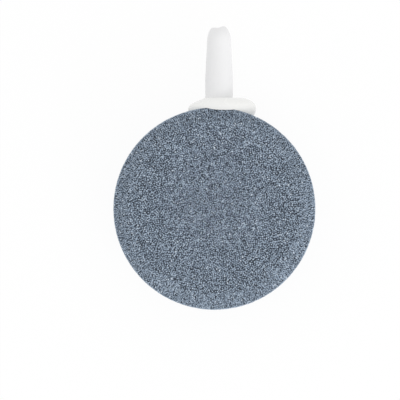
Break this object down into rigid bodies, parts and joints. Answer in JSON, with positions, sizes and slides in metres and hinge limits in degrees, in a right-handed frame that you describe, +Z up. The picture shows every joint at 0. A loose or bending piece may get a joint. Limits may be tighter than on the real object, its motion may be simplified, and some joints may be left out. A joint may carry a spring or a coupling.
{
  "type": "air stone",
  "caption": "Disc of porous bonded grit with bevelled rims and a tapered hose nozzle glued into its edge, which lets pumped air out as fine bubbles.",
  "frame": {"origin": "middle of the disc's flat underside, which it lies on", "axes": "+Z up along the disc's axis, +Y from the disc's middle along the nozzle towards its tip"},
  "size_m": [0.04, 0.0562, 0.015],
  "materials": {
    "bonded_grit": "open porous bonded abrasive grit, blue grey with pale and dark grains",
    "nozzle_plastic": "moulded white plastic, satin",
    "cured_glue": "cured white adhesive, smooth and slightly glossy"
  },
  "bodies": {
    "root": {"stone_disc": "bonded_grit", "hose_nozzle": "nozzle_plastic", "glue_bead": "cured_glue"}
  },
  "joints": []
}
